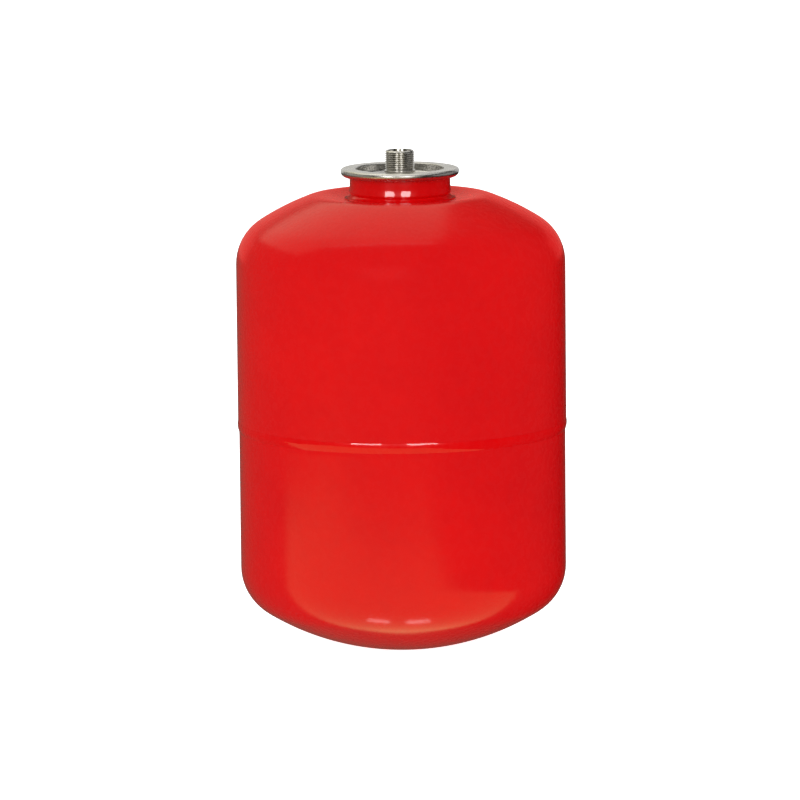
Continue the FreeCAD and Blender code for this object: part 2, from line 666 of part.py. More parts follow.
def make_valve_core():
    """The core in the stem: screw plug, barrel with its seal, pin with collar, plunger seal and cup, spring."""
    plug_top = "(dims.plug_low + dims.plug)"
    barrel_top = f"({plug_top} + dims.barrel)"
    seat_low = f"({barrel_top} - dims.barrel_seat)"
    plug = revolved(
        "core_plug",
        [
            ("dims.plug_hole", "dims.plug_low"),
            ("dims.stem_bore", "dims.plug_low"),
            ("dims.stem_bore", plug_top),
            ("dims.plug_hole", plug_top),
        ],
    )
    slot = plug.newObject("Sketcher::SketchObject", "core_plug_slot")
    slot.AttachmentSupport = [(plane(plug, "XZ_Plane"), "")]
    slot.MapMode = "FlatFace"
    draw(
        slot,
        [
            ("-dims.plug_slot / 2", "dims.plug_low - 1"),
            ("dims.plug_slot / 2", "dims.plug_low - 1"),
            ("dims.plug_slot / 2", "dims.plug_low + dims.plug_slot_deep"),
            ("-dims.plug_slot / 2", "dims.plug_low + dims.plug_slot_deep"),
        ],
    )
    pocket = plug.newObject("PartDesign::Pocket", "core_plug_slot_cut")
    pocket.Profile = slot
    pocket.Midplane = True
    pocket.setExpression("Length", "4 * dims.stem_bore")
    doc.recompute()
    revolved(
        "core_barrel",
        [
            ("dims.barrel_chamber", plug_top),
            ("dims.barrel_r", plug_top),
            ("dims.barrel_r", barrel_top),
            ("dims.plug_hole", barrel_top),
            ("dims.plug_hole", seat_low),
            ("dims.barrel_chamber", seat_low),
        ],
    )
    seal_low = f"({plug_top} + dims.core_seal_low)"
    revolved(
        "core_barrel_seal",
        [
            ("dims.barrel_r", seal_low),
            ("dims.stem_bore", f"{seal_low} + 0.5"),
            ("dims.stem_bore", f"{seal_low} + dims.core_seal - 0.5"),
            ("dims.barrel_r", f"{seal_low} + dims.core_seal"),
        ],
    )
    collar_low = f"({plug_top} + 0.2)"
    revolved(
        "core_pin",
        [
            ("0", "dims.pin_low"),
            ("dims.pin_r", "dims.pin_low"),
            ("dims.pin_r", collar_low),
            ("dims.pin_collar_r", collar_low),
            ("dims.pin_collar_r", f"{collar_low} + dims.pin_collar"),
            ("dims.pin_r", f"{collar_low} + dims.pin_collar"),
            ("dims.pin_r", "dims.pin_top"),
            ("0", "dims.pin_top"),
        ],
    )
    plunger_top = f"({barrel_top} + dims.plunger)"
    revolved(
        "core_plunger_seal",
        [
            ("dims.pin_r", barrel_top),
            ("dims.plunger_r", barrel_top),
            ("dims.plunger_r", plunger_top),
            ("dims.pin_r", plunger_top),
        ],
    )
    revolved(
        "core_plunger_cup",
        [
            ("dims.pin_r", plunger_top),
            ("dims.plunger_r", plunger_top),
            ("dims.plunger_r", f"{barrel_top} + 0.2"),
            ("dims.cup_r", f"{barrel_top} + 0.2"),
            ("dims.cup_r", f"{plunger_top} + dims.cup / 2"),
            ("dims.cup_r - 0.5", f"{plunger_top} + dims.cup"),
            ("dims.pin_r", f"{plunger_top} + dims.cup"),
        ],
    )
    spring_low = f"({collar_low} + dims.pin_collar + dims.spring_wire)"
    body = doc.addObject("PartDesign::Body", "core_spring")
    section = body.newObject("Sketcher::SketchObject", "core_spring_section")
    section.AttachmentSupport = [(plane(body, "XZ_Plane"), "")]
    section.MapMode = "FlatFace"
    doc.recompute()
    add_circle(section, "dims.spring_r", spring_low, "dims.spring_wire")
    coil = body.newObject("PartDesign::AdditiveHelix", "core_spring_coil")
    coil.Profile = section
    coil.ReferenceAxis = (section, ["V_Axis"])
    coil.Mode = "height-turns-growth"
    coil.setExpression("Height", f"{seat_low} - dims.spring_wire - {spring_low}")
    coil.setExpression("Turns", "dims.spring_turns")
    doc.recompute()
    parts.append(body)


def make_cap():
    """Screw cap with a grooved grip, and the rubber disc that seals it on the stem's end."""
    seal_low = "(dims.stem_low - dims.cap_seal)"
    cap = revolved(
        "valve_cap",
        [
            ("0", seal_low),
            ("0", "dims.cap_low"),
            ("dims.cap_r - dims.cap_edge", "dims.cap_low"),
            ("dims.cap_r", "dims.cap_low + dims.cap_edge", "dims.cap_edge", LEFT),
            ("dims.cap_r", "dims.cap_top"),
            ("dims.cap_bore", "dims.cap_top"),
            ("dims.cap_bore", seal_low),
        ],
    )
    sketch = cap.newObject("Sketcher::SketchObject", "valve_cap_groove")
    sketch.AttachmentSupport = [(plane(cap, "XY_Plane"), "")]
    sketch.MapMode = "FlatFace"
    sketch.AttachmentOffset = FreeCAD.Placement(FreeCAD.Vector(0, 0, 1), FreeCAD.Rotation())
    sketch.setExpression("AttachmentOffset.Base.z", "dims.cap_low + 2 * dims.cap_edge")
    doc.recompute()
    add_circle(sketch, "dims.cap_r", "0", "dims.cap_groove")
    cut = cap.newObject("PartDesign::Pocket", "valve_cap_groove_cut")
    cut.Profile = sketch
    cut.Reversed = True
    cut.setExpression("Length", "dims.cap_top - dims.cap_low")
    doc.recompute()
    ring = cap.newObject("PartDesign::PolarPattern", "valve_cap_grooves")
    ring.Originals = [cut]
    ring.Axis = (sketch, ["N_Axis"])
    ring.Angle = 360.0
    ring.setExpression("Occurrences", "dims.cap_grooves")
    cap.Tip = ring
    doc.recompute()
    revolved(
        "valve_cap_seal",
        [
            ("0", seal_low),
            ("dims.cap_seal_r", seal_low),
            ("dims.cap_seal_r", "dims.stem_low"),
            ("0", "dims.stem_low"),
        ],
    )


def check_and_write():
    """Stops on a failed object or a bad shape, then writes one STEP file for each sub-part."""
    doc.recompute()
    failed = [o.Label for o in doc.Objects if "Invalid" in o.State or "Error" in o.State]
    bad = [p.Label for p in parts if p.Shape.isNull() or not p.Shape.isValid() or not p.Shape.Solids]
    if failed or bad:
        raise SystemExit(f"failed objects {failed}, bad shapes {bad}")
    os.makedirs("parts", exist_ok=True)
    for part in parts:
        part.Shape.exportStep(f"parts/{part.Label}.step")
        print(f"{part.Label}: {part.Shape.Volume:.2f} mm3, {len(part.Shape.Solids)} solid")


fill_sheet()
make_upper_shell()
make_lower_shell()
make_girth_weld()
make_neck()
make_connection_flange()
make_nipple()
make_membrane()
make_valve_boss()
make_valve_stem()
make_valve_core()
make_cap()
check_and_write()
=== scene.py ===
import math

import bmesh
import bpy
from mathutils import Matrix, Vector, noise


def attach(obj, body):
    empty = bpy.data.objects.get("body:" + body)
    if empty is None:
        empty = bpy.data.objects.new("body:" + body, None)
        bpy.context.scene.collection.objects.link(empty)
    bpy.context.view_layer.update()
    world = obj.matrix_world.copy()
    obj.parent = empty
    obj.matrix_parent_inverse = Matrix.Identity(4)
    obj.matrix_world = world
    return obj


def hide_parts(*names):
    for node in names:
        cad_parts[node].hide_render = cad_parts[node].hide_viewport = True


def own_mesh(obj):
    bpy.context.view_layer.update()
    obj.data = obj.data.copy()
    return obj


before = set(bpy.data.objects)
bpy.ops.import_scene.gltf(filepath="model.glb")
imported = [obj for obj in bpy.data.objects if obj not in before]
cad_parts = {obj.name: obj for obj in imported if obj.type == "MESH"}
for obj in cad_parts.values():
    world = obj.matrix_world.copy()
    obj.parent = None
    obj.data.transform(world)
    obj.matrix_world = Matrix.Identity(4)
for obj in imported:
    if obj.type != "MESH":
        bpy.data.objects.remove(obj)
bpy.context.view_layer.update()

MM = 0.001
LEFT, RIGHT = 1, -1  # the way an arc turns, seen along its outline

# ---------------------------------------------------------------- driving sizes, in millimetres
BODY_R = 147.2
LOWER_R = 146.2
WALL = 1.5
LAP_R = BODY_R - WALL - 0.1
RIM_LOW, LAP_TOP = 198.5, 210.0
JOGGLE_LOW, JOGGLE_TOP = 193.0, 196.0
BEAD_TOP, BEAD_CROWN_R = 202.0, 12.0
UPPER_TANGENT, LOWER_TANGENT = 343.2, 69.3
KNUCKLE_R, CROWN_R = 45.0, 235.0
SHOULDER_START, SHOULDER_R, SEAT_SLOPE = 83.0, 28.0, math.radians(9.0)
FOOT_INNER, FOOT_CORNER, WELL_FLOOR, WELL_CORNER, BOSS_HOLE = 41.0, 5.0, 30.0, 4.0, 9.0
NECK_R, NECK_BAND_R, NECK_BEAD_R, NECK_BORE, NECK_LOW = 44.0, 44.9, 45.6, 43.0, 392.0
# the neck's bead sits about 2 mm lower here than on the CAD neck
NECK_STEP_LOW, NECK_JOGGLE_LOW, NECK_BEAD_TOP, NECK_BAND_LOW = 404.4, 406.2, 408.2, 414.0
LIP_R, LIP_TOP, LIP, LIP_FILLET = 47.9, 423.4, 1.5, 1.2
WELD_R, WELD_RISE, WELD_LIP, WELD_HOLLOW = 49.8, 5.0, 0.9, 6.5
FLANGE_TOP, SHEET, FLANGE_R, RIM_R, CURL_R, CURL_END = 428.2, 1.3, 52.9, 2.6, 4.9, 46.2
RECESS_R, RECESS_EDGE, RECESS_CORNER, RECESS_FLOOR = 39.3, 1.2, 2.6, 420.0
NIPPLE_TOP, NIPPLE_LOW, NIPPLE_BASE_R, NIPPLE_BASE_TOP, NIPPLE_BORE = 444.0, 414.0, 13.8, 426.4, 10.5
THREAD_MAJOR, THREAD_MINOR, THREAD_PITCH = 13.22, 12.06, 1.814
NIPPLE_WELD_R, NIPPLE_WELD_RISE, NIPPLE_WELD_FACE = 16.2, 1.8, 3.2
BAG_WALL, BAG_THROAT_R, BAG_LIP_R, BAG_THROAT_LOW, BAG_FLARE = 2.0, 42.8, 49.9, 388.0, 14.0
BAG_SLOPE, BAG_SHOULDER_R, BAG_R, BAG_TANGENT = math.radians(24.0), 46.0, 116.0, 150.0
BAG_KNUCKLE, BAG_CROWN = 52.0, 165.0
STEM_LOW, STEM_TOP, STEM_R, STEM_BORE, STEM_AIR_R, STEM_BORE_TOP = 13.0, 39.0, 5.0, 2.6, 2.1, 27.2
STEM_THREAD_R, STEM_ROOT_R, STEM_PITCH, HEX_FLATS, HEX_LOW, HEX_TOP = 3.85, 3.4, 0.794, 14.0, 23.0, 27.0
CAP_LOW, CAP_TOP, CAP_R, CAP_BORE, CAP_FLOOR, CAP_EDGE = 10.4, 20.6, 5.9, 4.15, 12.0, 0.8
CAP_GROOVE, CAP_GROOVES = 0.45, 20
SPRING_R, SPRING_WIRE, SPRING_LOW, SPRING_TOP, SPRING_TURNS = 0.95, 0.14, 19.0, 23.6, 5

# ---------------------------------------------------------------- fineness and small surface detail
SHELL_SEGMENTS, SHELL_STEP, SHELL_WAVE = 320, 5.0, 0.05
TOUCH = 0.05  # points nearer than this to a face that they join stay on it
BEAD_SEGMENTS, BEAD_STEP = 960, 0.7
BEAD_RIPPLES, BEAD_RIPPLE, BEAD_WANDER, BEAD_SINK = 240, 0.03, 0.10, 0.2  # count, then height shares
BEAD_END_ANGLE, BEAD_END_WIDTH, BEAD_END_RISE = 4.05, 9.0, 0.15  # where the weld runs over its own start
FILLET_SEGMENTS, FILLET_RIPPLES, FILLET_RIPPLE, FILLET_WANDER = 360, 120, 0.015, 0.07
RIM_WAVE = 0.06
THREAD_STEP, THREAD_ROOT_SHARE, THREAD_ROUNDING = 0.125, 0.17, 0.35
NIPPLE_WELD_RIPPLES, NIPPLE_WELD_RIPPLE, NIPPLE_WELD_WANDER = 64, 0.06, 0.05
STEM_THREAD_STEP, STEM_THREAD_POINTS, STEM_THREAD_TOP = 0.08, 108, HEX_LOW - 1.1
BAG_STEP, BAG_SEGMENTS, BAG_FOLDS, BAG_FOLD, BAG_SLACK = 5.0, 160, 10, 0.8, 1.2
BAG_FOLD_LOW, BAG_FOLD_SPAN, BAG_FOLD_INNER_R = 90.0, 270.0, 60.0


# ---------------------------------------------------------------- outlines
def arc_points(a, b, radius, turn, step):
    """Points along the short arc from a to b, without a itself."""
    a, b = Vector(a), Vector(b)
    chord = b - a
    normal = Vector((-chord.y, chord.x)).normalized() * turn
    centre = (a + b) / 2 + normal * math.sqrt(max(0.0, radius**2 - (chord.length / 2) ** 2))
    start = math.atan2(a.y - centre.y, a.x - centre.x)
    sweep = (math.atan2(b.y - centre.y, b.x - centre.x) - start + math.pi) % (2 * math.pi) - math.pi
    count = max(3, math.ceil(abs(sweep) * radius / step), math.ceil(abs(sweep) / math.radians(9)))
    angles = [start + sweep * i / count for i in range(1, count + 1)]
    between = [(centre.x + radius * math.cos(t), centre.y + radius * math.sin(t)) for t in angles[:-1]]
    return between + [(b.x, b.y)]


def line_points(a, b, step):
    """Points along the straight run from a to b, without a itself."""
    a, b = Vector(a), Vector(b)
    count = max(1, round((b - a).length / step))
    return [tuple(a.lerp(b, i / count)) for i in range(1, count + 1)]


def outline(corners, step=6.0, closed=True):
    """A list of (radius, height) points from corners (radius, height[, arc radius, turn])."""
    points = []
    order = range(len(corners)) if closed else range(1, len(corners))
    if not closed:
        points.append(tuple(corners[0][:2]))
    for i in order:
        a, b = corners[i - 1][:2], corners[i]
        points += arc_points(a, b[:2], *b[2:], step) if len(b) == 4 else line_points(a, b, step)
    return points


def head(outer_r, tangent, knuckle, crown, inset, way):
    """Where a dished head's knuckle meets its crown, both radii, and the height of the crown's centre."""
    pitch_r, between = outer_r - knuckle, crown - knuckle
    rise = math.sqrt(between**2 - pitch_r**2)
    share = (crown - inset) / between
    centre = tangent - way * rise
    return pitch_r * share, centre + way * rise * share, knuckle - inset, crown - inset, centre


def seat(radius, inset=0.0):
    """Where the turn into the seat round the neck ends, and the seat's height at a radius."""
    centre = head(BODY_R, UPPER_TANGENT, KNUCKLE_R, CROWN_R, 0, 1)[4]
    lean = math.asin(SHOULDER_START / CROWN_R)
    middle_r = (CROWN_R - SHOULDER_R) * math.sin(lean)
    middle_z = centre + (CROWN_R - SHOULDER_R) * math.cos(lean)
    turn_r = middle_r - (SHOULDER_R - inset) * math.sin(SEAT_SLOPE)
    turn_z = middle_z + (SHOULDER_R - inset) * math.cos(SEAT_SLOPE)
    return turn_r, turn_z, turn_z - (turn_r - radius) * math.tan(SEAT_SLOPE)


# ---------------------------------------------------------------- meshes
def finish_mesh(name, verts, faces, sharp_deg=32.0):
    """A shaded object from points in millimetres, its normals outward and its hard edges kept."""
    mesh = bpy.data.meshes.new(name)
    mesh.from_pydata([(x * MM, y * MM, z * MM) for x, y, z in verts], [], faces)
    bm = bmesh.new()
    bm.from_mesh(mesh)
    bmesh.ops.recalc_face_normals(bm, faces=bm.faces)
    bm.to_mesh(mesh)
    bm.free()
    mesh.shade_smooth()
    mesh.set_sharp_from_angle(angle=math.radians(sharp_deg))
    obj = bpy.data.objects.new(name, mesh)
    bpy.context.scene.collection.objects.link(obj)
    return obj


def lathe(name, path, segments=192, bend=None, sharp_deg=32.0):
    """Turns a closed outline about the vessel's axis. bend(r, z, angle) may move each point."""
    verts, rows = [], []
    for r, z in path:
        if r < 1e-6:
            rows.append([len(verts)])
            verts.append((0.0, 0.0, z))
            continue
        rows.append(list(range(len(verts), len(verts) + segments)))
        for i in range(segments):
            angle = 2 * math.pi * i / segments
            pr, pz = bend(r, z, angle) if bend else (r, z)
            verts.append((pr * math.cos(angle), pr * math.sin(angle), pz))
    faces = []
    for k in range(len(rows)):
        low, high = rows[k - 1], rows[k]
        if len(low) == 1 and len(high) == 1:
            continue
        for i in range(segments):
            j = (i + 1) % segments
            if len(low) == 1:
                faces.append((low[0], high[j], high[i]))
            elif len(high) == 1:
                faces.append((low[i], low[j], high[0]))
            else:
                faces.append((low[i], low[j], high[j], high[i]))
    return finish_mesh(name, verts, faces, sharp_deg)


def waver(x, y, z, size, seed):
    """Smooth noise between about -1 and 1 at a point, with features of a given size."""
    return noise.noise(Vector((x / size + seed, y / size - seed, z / size + 2 * seed)))


def sheet_waves(height, seed):
    """Slight unevenness of a drawn shell, all of it inwards: long waves, and faint rings up its height."""
    def bend(r, z, angle):
        x, y = r * math.cos(angle), r * math.sin(angle)
        swell = height * waver(x, y, z * 0.6, 70.0, seed)
        ring = 0.25 * height * waver(x * 0.15, y * 0.15, z, 9.0, seed + 5)
        return r + (swell + ring - 1.25 * height) * min(1.0, r / 60.0), z
    return bend


def thread(major, minor, pitch, low, top, top_chamfer, run_out):
    """Cuts a helical thread with rounded crests and roots into points at the major radius."""
    def bend(r, z, angle):
        if abs(r - major) > 1e-6 or not low < z < top:
            return r, z
        phase = ((z - low) / pitch - angle / (2 * math.pi)) % 1.0
        rise = 1.0 - abs(2 * phase - 1.0)
        share = min(1.0, max(0.0, (rise - THREAD_ROOT_SHARE) / (1 - 2 * THREAD_ROOT_SHARE)))
        smooth = share * share * (3 - 2 * share)
        share += (smooth - share) * THREAD_ROUNDING
        radius = minor + (major - minor) * share
        start = minor + (top - z) * top_chamfer
        fade = min(1.0, max(0.0, (z - low) / run_out))
        return min(radius, start) * fade + minor * (1 - fade), z
    return bend


# ---------------------------------------------------------------- the visible pieces
def make_upper_half():
    sides = []
    for inset in (0.0, WALL):
        join_r, join_z, knuckle, crown, centre = head(BODY_R, UPPER_TANGENT, KNUCKLE_R, CROWN_R, inset, 1)
        start_r = SHOULDER_START * crown / CROWN_R
        turn_r, turn_z, hole_z = seat(NECK_R, inset)
        start_z = centre + math.sqrt(crown**2 - start_r**2)
        sides.append((BODY_R - inset, (join_r, join_z, knuckle), (start_r, start_z, crown),
                      (turn_r, turn_z, SHOULDER_R - inset), (NECK_R, hole_z)))
    out, inn = sides
    path = outline([
        (out[0], RIM_LOW), (out[0], UPPER_TANGENT), (*out[1], LEFT), (*out[2], LEFT), (*out[3], LEFT), out[4],
        inn[4], inn[3][:2], (*inn[2][:2], inn[3][2], RIGHT), (*inn[1][:2], inn[2][2], RIGHT),
        (inn[0], UPPER_TANGENT, inn[1][2], RIGHT), (inn[0], RIM_LOW),
    ], SHELL_STEP)
    return lathe("upper_half", path, SHELL_SEGMENTS, sheet_waves(SHELL_WAVE, 3.1))


def make_lower_half():
    join_r, join_z, knuckle, crown, centre = head(LOWER_R, LOWER_TANGENT, KNUCKLE_R, CROWN_R, 0, -1)
    in_r, in_z, in_knuckle, in_crown, _ = head(LOWER_R, LOWER_TANGENT, KNUCKLE_R, CROWN_R, WALL, -1)
    foot_outer = math.sqrt(crown**2 - centre**2)
    in_foot_outer = math.sqrt(in_crown**2 - (centre - WALL) ** 2)
    well_r = FOOT_INNER - FOOT_CORNER
    path = outline([
        (LAP_R, LAP_TOP), (LAP_R - WALL, LAP_TOP), (LAP_R - WALL, JOGGLE_TOP), (LOWER_R - WALL, JOGGLE_LOW),
        (LOWER_R - WALL, LOWER_TANGENT), (in_r, in_z, in_knuckle, RIGHT),
        (in_foot_outer, WALL, in_crown, RIGHT),
        (FOOT_INNER, WALL), (well_r + WALL, FOOT_CORNER, FOOT_CORNER - WALL, RIGHT),
        (well_r + WALL, WELL_FLOOR - WELL_CORNER),
        (well_r - WELL_CORNER, WELL_FLOOR + WALL, WELL_CORNER + WALL, LEFT),
        (BOSS_HOLE, WELL_FLOOR + WALL), (BOSS_HOLE, WELL_FLOOR), (well_r - WELL_CORNER, WELL_FLOOR),
        (well_r, WELL_FLOOR - WELL_CORNER, WELL_CORNER, RIGHT), (well_r, FOOT_CORNER),
        (FOOT_INNER, 0, FOOT_CORNER, LEFT), (foot_outer, 0), (join_r, join_z, crown, LEFT),
        (LOWER_R, LOWER_TANGENT, knuckle, LEFT), (LOWER_R, JOGGLE_LOW), (LAP_R, JOGGLE_TOP),
    ], SHELL_STEP)
    waves = sheet_waves(SHELL_WAVE, 7.7)

    def bend(r, z, angle):
        return waves(r, z, angle) if z > 20 and r > 60 and z < JOGGLE_LOW - 1 else (r, z)
    return lathe("lower_half", path, SHELL_SEGMENTS, bend)


def make_seam_bead():
    """The girth weld: a crowned bead with the fine ripple and slow wander of a machine weld."""
    path = outline([(LOWER_R, JOGGLE_LOW), (BODY_R, BEAD_TOP, BEAD_CROWN_R, LEFT), (BODY_R, RIM_LOW),
                    (LAP_R, RIM_LOW), (LAP_R, JOGGLE_TOP)], BEAD_STEP)

    def bend(r, z, angle):
        proud = r - (LOWER_R + (BODY_R - LOWER_R) * (z - JOGGLE_LOW) / (BEAD_TOP - JOGGLE_LOW))
        if proud <= TOUCH or z > BEAD_TOP - 0.01:
            return r, z
        across = (z - (JOGGLE_LOW + BEAD_TOP) / 2) / (BEAD_TOP - JOGGLE_LOW)
        ripple = math.sin(angle * BEAD_RIPPLES + 6 * across * across) * BEAD_RIPPLE
        wander = BEAD_WANDER * waver(r * math.cos(angle), r * math.sin(angle), z * 3, 26.0, 1.7)
        end = BEAD_END_RISE * math.exp(-((angle - BEAD_END_ANGLE) * BODY_R / BEAD_END_WIDTH) ** 2)
        return r + proud * (ripple + wander + end - BEAD_SINK), z
    return lathe("seam_bead", path, BEAD_SEGMENTS, bend, 40.0)


def make_neck():
    """Neck with its raised bead drawn as one soft swelling, and a lip rolled out at the top."""
    lip_low = LIP_TOP - LIP
    path = outline([
        (NECK_BORE, NECK_LOW), (NECK_R, NECK_LOW), (NECK_R, NECK_STEP_LOW - 0.6),
        (NECK_R + 0.25, NECK_STEP_LOW + 0.3, 1.4, RIGHT),
        (NECK_BEAD_R - 0.3, NECK_JOGGLE_LOW - 0.1), (NECK_BEAD_R, NECK_BEAD_TOP - 0.4, 1.9, LEFT),
        (NECK_BEAD_R - 0.25, NECK_BEAD_TOP + 0.9, 2.6, LEFT),
        (NECK_BAND_R, NECK_BAND_LOW, 22.0, RIGHT), (NECK_BAND_R, lip_low - LIP_FILLET),
        (NECK_BAND_R + LIP_FILLET, lip_low, LIP_FILLET, RIGHT), (LIP_R, lip_low), (LIP_R, LIP_TOP),
        (NECK_BORE, LIP_TOP),
    ], 1.2)
    return lathe("neck_sleeve", path, 256)


def make_neck_weld():
    """Fillet weld at the neck's foot: hollow face, rounded toe, slight wander."""
    root, toe = seat(NECK_R)[2], seat(WELD_R)[2]
    path = outline([(NECK_R, root), (WELD_R, toe), (WELD_R - WELD_LIP, toe + WELD_LIP, WELD_LIP, LEFT),
                    (NECK_R, root + WELD_RISE, WELD_HOLLOW, RIGHT)], 0.5)

    def bend(r, z, angle):
        above = z - (root + (toe - root) * (r - NECK_R) / (WELD_R - NECK_R))
        if above <= TOUCH or r < NECK_R + TOUCH:
            return r, z
        wander = FILLET_WANDER * waver(r * math.cos(angle), r * math.sin(angle), z, 11.0, 4.4)
        ripple = FILLET_RIPPLE * math.sin(angle * FILLET_RIPPLES)
        return r, z + above * (wander + ripple)
    return lathe("neck_fillet", path, FILLET_SEGMENTS, bend, 40.0)


def make_flange():
    """Dished plate: floor, recess wall, flat ring, and a rim curled round under the neck's lip."""
    under = FLANGE_TOP - SHEET
    rim_z = FLANGE_TOP - RIM_R
    curl_in = LIP_TOP - LIP
    curl_low = curl_in - SHEET
    path = outline([
        (NIPPLE_BASE_R, RECESS_FLOOR), (NIPPLE_BASE_R, RECESS_FLOOR - SHEET),
        (RECESS_R - RECESS_CORNER, RECESS_FLOOR - SHEET),
        (RECESS_R + SHEET, RECESS_FLOOR + RECESS_CORNER, RECESS_CORNER + SHEET, LEFT),
        (RECESS_R + SHEET, under),
        (FLANGE_R - RIM_R, under), (FLANGE_R - SHEET, rim_z, RIM_R - SHEET, RIGHT),
        (FLANGE_R - SHEET, curl_low + CURL_R), (FLANGE_R - CURL_R, curl_in, CURL_R - SHEET, RIGHT),
        (CURL_END, curl_in), (CURL_END, curl_low), (FLANGE_R - CURL_R, curl_low),
        (FLANGE_R, curl_low + CURL_R, CURL_R, LEFT), (FLANGE_R, rim_z),
        (FLANGE_R - RIM_R, FLANGE_TOP, RIM_R, LEFT), (RECESS_R + RECESS_EDGE, FLANGE_TOP),
        (RECESS_R, FLANGE_TOP - RECESS_EDGE, RECESS_EDGE, LEFT), (RECESS_R, RECESS_FLOOR + RECESS_CORNER),
        (RECESS_R - RECESS_CORNER, RECESS_FLOOR, RECESS_CORNER, RIGHT),
    ], 0.8)

    def bend(r, z, angle):
        wave = RIM_WAVE * waver(r * math.cos(angle), r * math.sin(angle), z, 24.0, 9.2)
        return (r + wave, z) if z < under - 0.5 and r > FLANGE_R - 3 else (r, z)
    return lathe("flange_plate", path, 288, bend)


def make_nipple():
    """G 3/4 nipple with its true helical thread, a chamfered mouth and a plain base."""
    top = NIPPLE_TOP
    path = outline([(NIPPLE_BORE, NIPPLE_LOW), (NIPPLE_BASE_R, NIPPLE_LOW),
                    (NIPPLE_BASE_R, NIPPLE_BASE_TOP - 0.5), (NIPPLE_BASE_R - 0.5, NIPPLE_BASE_TOP, 0.5, LEFT),
                    (THREAD_MINOR, NIPPLE_BASE_TOP + 0.15)], 1.5, closed=False)
    points = int((top - NIPPLE_BASE_TOP - 0.3) / THREAD_STEP)
    path += [(THREAD_MAJOR, NIPPLE_BASE_TOP + 0.25 + k * THREAD_STEP) for k in range(points)]
    path += [(THREAD_MINOR, top - 0.02), (THREAD_MINOR - 0.2, top), (NIPPLE_BORE + 0.5, top),
             (NIPPLE_BORE + 0.12, top - 0.12), (NIPPLE_BORE, top - 0.5)]
    path += [(NIPPLE_BORE, top - 6.0), (NIPPLE_BORE, top - 16.0)]
    cut = thread(THREAD_MAJOR, THREAD_MINOR, THREAD_PITCH, NIPPLE_BASE_TOP + 0.2, top, 0.9, 1.6)
    return lathe("water_nipple", path, 160, cut, 50.0)


def make_nipple_weld():
    """Small bead round the nipple's foot, with a fine ripple and a slight wander."""
    path = outline([(NIPPLE_BASE_R, RECESS_FLOOR), (NIPPLE_WELD_R, RECESS_FLOOR),
                    (NIPPLE_BASE_R, RECESS_FLOOR + NIPPLE_WELD_RISE, NIPPLE_WELD_FACE, LEFT)], 0.3)

    def bend(r, z, angle):
        if z <= RECESS_FLOOR + 0.01 or r <= NIPPLE_BASE_R + 0.01:
            return r, z
        up = z - RECESS_FLOOR
        ripple = NIPPLE_WELD_RIPPLE * (math.sin(angle * NIPPLE_WELD_RIPPLES) - 1)
        wander = NIPPLE_WELD_WANDER * waver(r * math.cos(angle), r * math.sin(angle), z, 5.0, 6.1)
        return r, z + up * (ripple + wander)
    return lathe("nipple_bead", path, 384, bend, 45.0)


def bag_side(inset):
    """Corners down one face of the bag, from its throat to its closed end."""
    throat, flare = BAG_THROAT_R - inset, BAG_FLARE + inset
    flare_r = BAG_THROAT_R + BAG_FLARE
    shoulder, shoulder_r = BAG_SHOULDER_R - inset, BAG_R - BAG_SHOULDER_R
    run = shoulder_r + BAG_SHOULDER_R * math.sin(BAG_SLOPE) - flare_r + BAG_FLARE * math.sin(BAG_SLOPE)
    drop = (BAG_FLARE + BAG_SHOULDER_R) * math.cos(BAG_SLOPE) + math.tan(BAG_SLOPE) * run
    shoulder_z = BAG_THROAT_LOW - drop
    join_r, join_z, knuckle, crown, centre = head(BAG_R, BAG_TANGENT, BAG_KNUCKLE, BAG_CROWN, inset, -1)
    return [
        (throat, BAG_THROAT_LOW),
        (flare_r - flare * math.sin(BAG_SLOPE), BAG_THROAT_LOW - flare * math.cos(BAG_SLOPE), flare, LEFT),
        (shoulder_r + shoulder * math.sin(BAG_SLOPE), shoulder_z + shoulder * math.cos(BAG_SLOPE)),
        (BAG_R - inset, shoulder_z, shoulder, RIGHT), (BAG_R - inset, BAG_TANGENT),
        (join_r, join_z, knuckle, RIGHT), (0.0, centre - crown, crown, RIGHT),
    ]


def make_bag():
    """Rubber bag full of water, in two pieces: the clamped lip with the shoulder, and the body."""
    outer, inner = bag_side(0.0), bag_side(BAG_WALL)
    throat_in = BAG_THROAT_R - BAG_WALL
    lip_top = FLANGE_TOP - SHEET
    top_outside = outline([(throat_in, lip_top), (BAG_LIP_R, lip_top), (BAG_LIP_R, LIP_TOP),
                           (BAG_THROAT_R, LIP_TOP), *outer[:4]], BAG_STEP, closed=False)
    top_inside = outline([(throat_in, lip_top), *inner[:4]], BAG_STEP, closed=False)
    low_outside = outline([outer[3][:2], *outer[4:]], BAG_STEP, closed=False)
    low_inside = outline([inner[3][:2], *inner[4:]], BAG_STEP, closed=False)

    def bend(r, z, angle):
        if r <= BAG_FOLD_INNER_R:
            return r, z
        share = math.sin(math.pi * min(1.0, max(0.0, (z - BAG_FOLD_LOW) / BAG_FOLD_SPAN)))
        fold = BAG_FOLD * math.sin(angle * BAG_FOLDS)
        slack = BAG_SLACK * waver(r * math.cos(angle), r * math.sin(angle), z, 55.0, 2.3)
        return r + share * (fold + slack), z
    return (lathe("bag_shoulder", top_outside + top_inside[:0:-1], BAG_SEGMENTS, bend),
            lathe("rubber_bag", low_outside + low_inside[::-1], BAG_SEGMENTS, bend))


